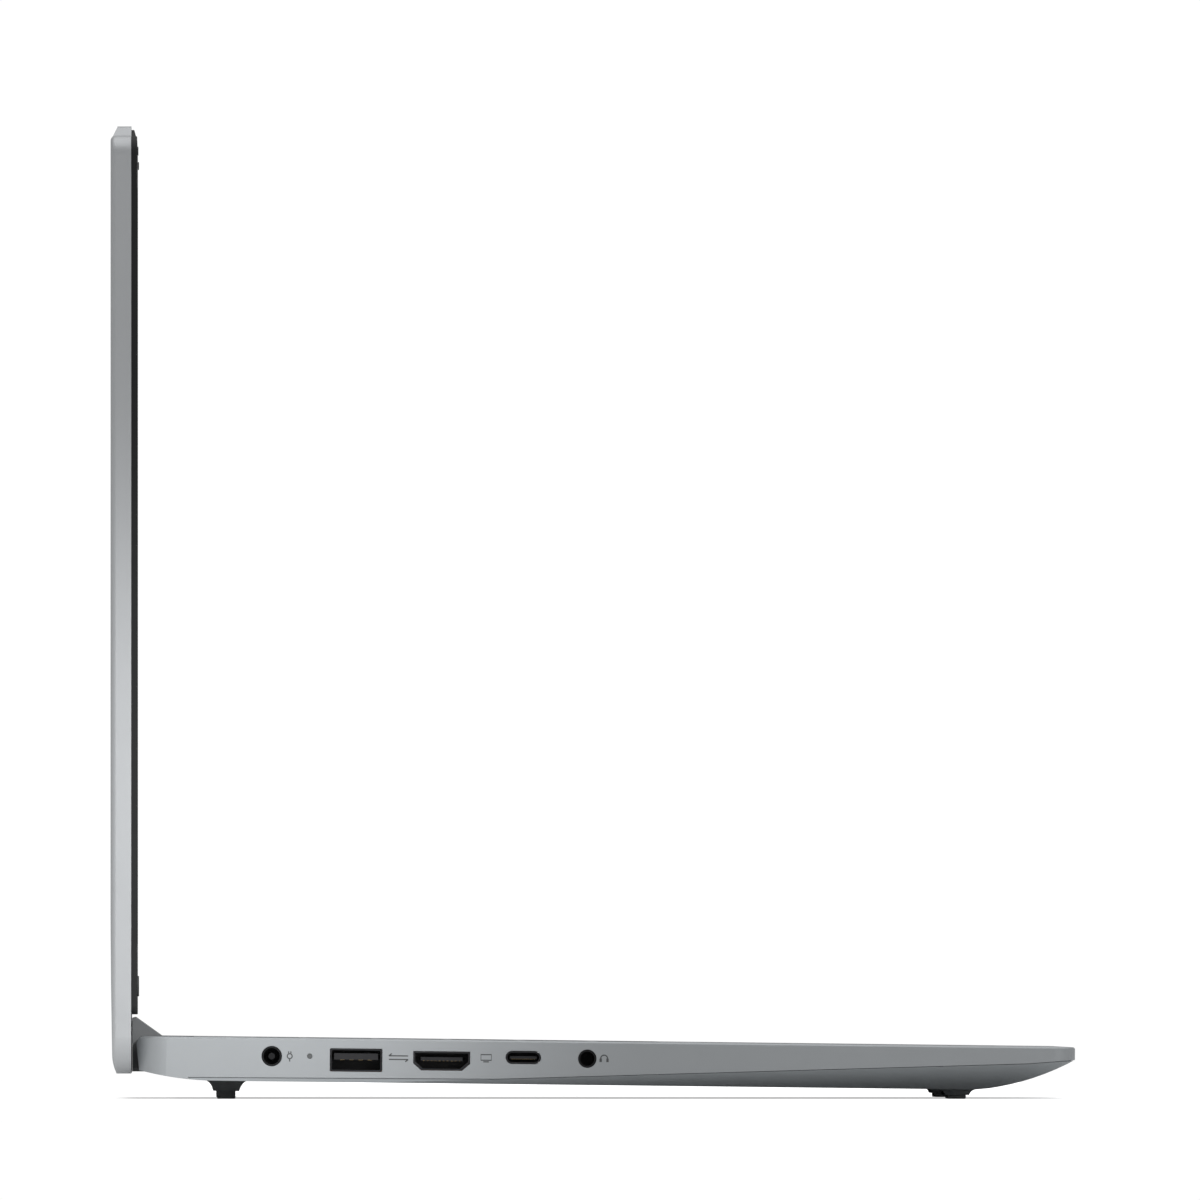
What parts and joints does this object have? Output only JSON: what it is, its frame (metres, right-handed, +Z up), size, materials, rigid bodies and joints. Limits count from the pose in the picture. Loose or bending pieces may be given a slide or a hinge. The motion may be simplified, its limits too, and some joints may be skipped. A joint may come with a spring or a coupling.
{
  "type": "laptop computer",
  "caption": "Thin laptop computer with its lid open at a right angle, keyboard with number pad, touchpad, side ports and a raised rear edge on long feet.",
  "frame": {"origin": "middle of the footprint, on the table the feet stand on", "axes": "+X to the user's right, +Y to the rear, +Z up"},
  "size_m": [0.3592, 0.2412, 0.2449],
  "materials": {
    "top_shell": "fine blasted, cool grey",
    "lid_shell": "fine blasted, light grey",
    "lower_shell": "fine moulded texture, dark grey",
    "bezel_black": "fine moulded texture, black",
    "screen": "matte screen film",
    "hinge_plastic": "satin moulded, dark grey",
    "rubber": "soft matte",
    "key_plastic": "satin, dark grey",
    "touch_surface": "silky film",
    "bright_steel": "nickel plated",
    "steel": "zinc plated",
    "black_plastic": "moulded",
    "board": "solder mask",
    "chip": "moulded package",
    "copper": "copper, bare",
    "alloy_fins": "bare",
    "battery_film": "wrapped cells",
    "dome_rubber": "translucent silicone",
    "status_light": "diffusing lens",
    "lens_glass": "dark glass",
    "cable_black": "woven jacket",
    "antenna_foil": "printed foil"
  },
  "bodies": {
    "base": {"top_case": "top_shell", "bottom_cover": "lower_shell", "rear_foot_rubber": "rubber", "front_feet_rubber": "rubber", "bottom_screws": "steel", "keyboard_plate": "steel", "dome_sheet": "dome_rubber", "touchpad_tray": "steel", "click_switches": "bright_steel", "usb_a_port_left": "bright_steel", "video_port": "bright_steel", "usb_c_port": "bright_steel", "usb_a_port_right": "bright_steel", "card_slot": "bright_steel", "dc_jack": "black_plastic", "audio_jack": "black_plastic", "status_led": "status_light", "motherboard": "board", "side_board": "board", "flat_cables": "cable_black", "board_screws": "steel", "processor": "chip", "memory_module": "board", "ssd_module": "board", "wifi_card": "board", "heat_pipe": "copper", "heatsink_fins": "alloy_fins", "fan_housing": "black_plastic", "battery_pack": "battery_film", "speakers": "black_plastic", "hinge_bracket_left": "steel", "hinge_bracket_right": "steel", "hinge_screws_base": "steel", "display_cable_base": "cable_black"},
    "lid": {"lid_cover": "lid_shell", "screen_bezel": "bezel_black", "camera_lens": "lens_glass", "camera_board": "board", "bezel_bumpers": "rubber", "lcd_panel": "screen", "wifi_antennas": "antenna_foil", "hinge_cap": "hinge_plastic", "hinge_arm_left": "steel", "hinge_arm_right": "steel", "hinge_screws_lid": "steel", "display_cable_lid": "cable_black"},
    "privacy_shutter": {"privacy_shutter": "bezel_black"},
    "touchpad": {"touchpad": "touch_surface"},
    "power_button": {"power_button": "key_plastic"},
    "fan_rotor": {"fan_rotor": "black_plastic"},
    "function_keys": {"function_keys": "key_plastic"},
    "keypad_keys": {"keypad_keys": "key_plastic"},
    "number_keys": {"number_keys": "key_plastic"},
    "upper_letter_keys": {"upper_letter_keys": "key_plastic"},
    "home_letter_keys": {"home_letter_keys": "key_plastic"},
    "enter_key": {"enter_key": "key_plastic"},
    "lower_letter_keys": {"lower_letter_keys": "key_plastic"},
    "modifier_keys": {"modifier_keys": "key_plastic"},
    "space_key": {"space_key": "key_plastic"},
    "arrow_keys": {"arrow_keys": "key_plastic"}
  },
  "joints": [
    {"name": "lid_hinge", "type": "hinge", "parent": "base", "child": "lid", "pos_m": [0, 0.10912, 0.01125], "axis": [1, 0, 0], "range_deg": [-89.3, 90.68]},
    {"name": "shutter_slide", "type": "slide", "parent": "lid", "child": "privacy_shutter", "axis": [-1, 0, 0], "range_m": [0, 0.006]},
    {"name": "fan_spin", "type": "hinge", "parent": "base", "child": "fan_rotor", "pos_m": [0.092, 0.05215, 0.00857], "axis": [0, -0.0119, 0.9999], "continuous": true},
    {"name": "touchpad_click", "type": "hinge", "parent": "base", "child": "touchpad", "pos_m": [0, -0.02942, 0.01341], "axis": [1, 0, 0], "range_deg": [0, 0.35], "stiffness_Nm_per_rad": 5, "springref_deg": -0.57},
    {"name": "power_press", "type": "slide", "parent": "base", "child": "power_button", "axis": [-1, 0, 0], "range_m": [0, 0.0005], "stiffness_N_per_m": 800, "springref_m": -0.0006},
    {"name": "function_row_press", "type": "slide", "parent": "base", "child": "function_keys", "axis": [0, 0.0119, -0.9999], "range_m": [0, 0.0013], "stiffness_N_per_m": 500, "springref_m": -0.0008},
    {"name": "keypad_row_press", "type": "slide", "parent": "base", "child": "keypad_keys", "axis": [0, 0.0119, -0.9999], "range_m": [0, 0.0013], "stiffness_N_per_m": 500, "springref_m": -0.0008},
    {"name": "number_row_press", "type": "slide", "parent": "base", "child": "number_keys", "axis": [0, 0.0119, -0.9999], "range_m": [0, 0.0013], "stiffness_N_per_m": 500, "springref_m": -0.0008},
    {"name": "upper_letter_row_press", "type": "slide", "parent": "base", "child": "upper_letter_keys", "axis": [0, 0.0119, -0.9999], "range_m": [0, 0.0013], "stiffness_N_per_m": 500, "springref_m": -0.0008},
    {"name": "home_letter_row_press", "type": "slide", "parent": "base", "child": "home_letter_keys", "axis": [0, 0.0119, -0.9999], "range_m": [0, 0.0013], "stiffness_N_per_m": 500, "springref_m": -0.0008},
    {"name": "enter_press", "type": "slide", "parent": "base", "child": "enter_key", "axis": [0, 0.0119, -0.9999], "range_m": [0, 0.0013], "stiffness_N_per_m": 500, "springref_m": -0.0008},
    {"name": "lower_letter_row_press", "type": "slide", "parent": "base", "child": "lower_letter_keys", "axis": [0, 0.0119, -0.9999], "range_m": [0, 0.0013], "stiffness_N_per_m": 500, "springref_m": -0.0008},
    {"name": "modifier_row_press", "type": "slide", "parent": "base", "child": "modifier_keys", "axis": [0, 0.0119, -0.9999], "range_m": [0, 0.0013], "stiffness_N_per_m": 500, "springref_m": -0.0008},
    {"name": "space_press", "type": "slide", "parent": "base", "child": "space_key", "axis": [0, 0.0119, -0.9999], "range_m": [0, 0.0013], "stiffness_N_per_m": 500, "springref_m": -0.0008},
    {"name": "arrow_row_press", "type": "slide", "parent": "base", "child": "arrow_keys", "axis": [0, 0.0119, -0.9999], "range_m": [0, 0.0013], "stiffness_N_per_m": 500, "springref_m": -0.0008}
  ]
}
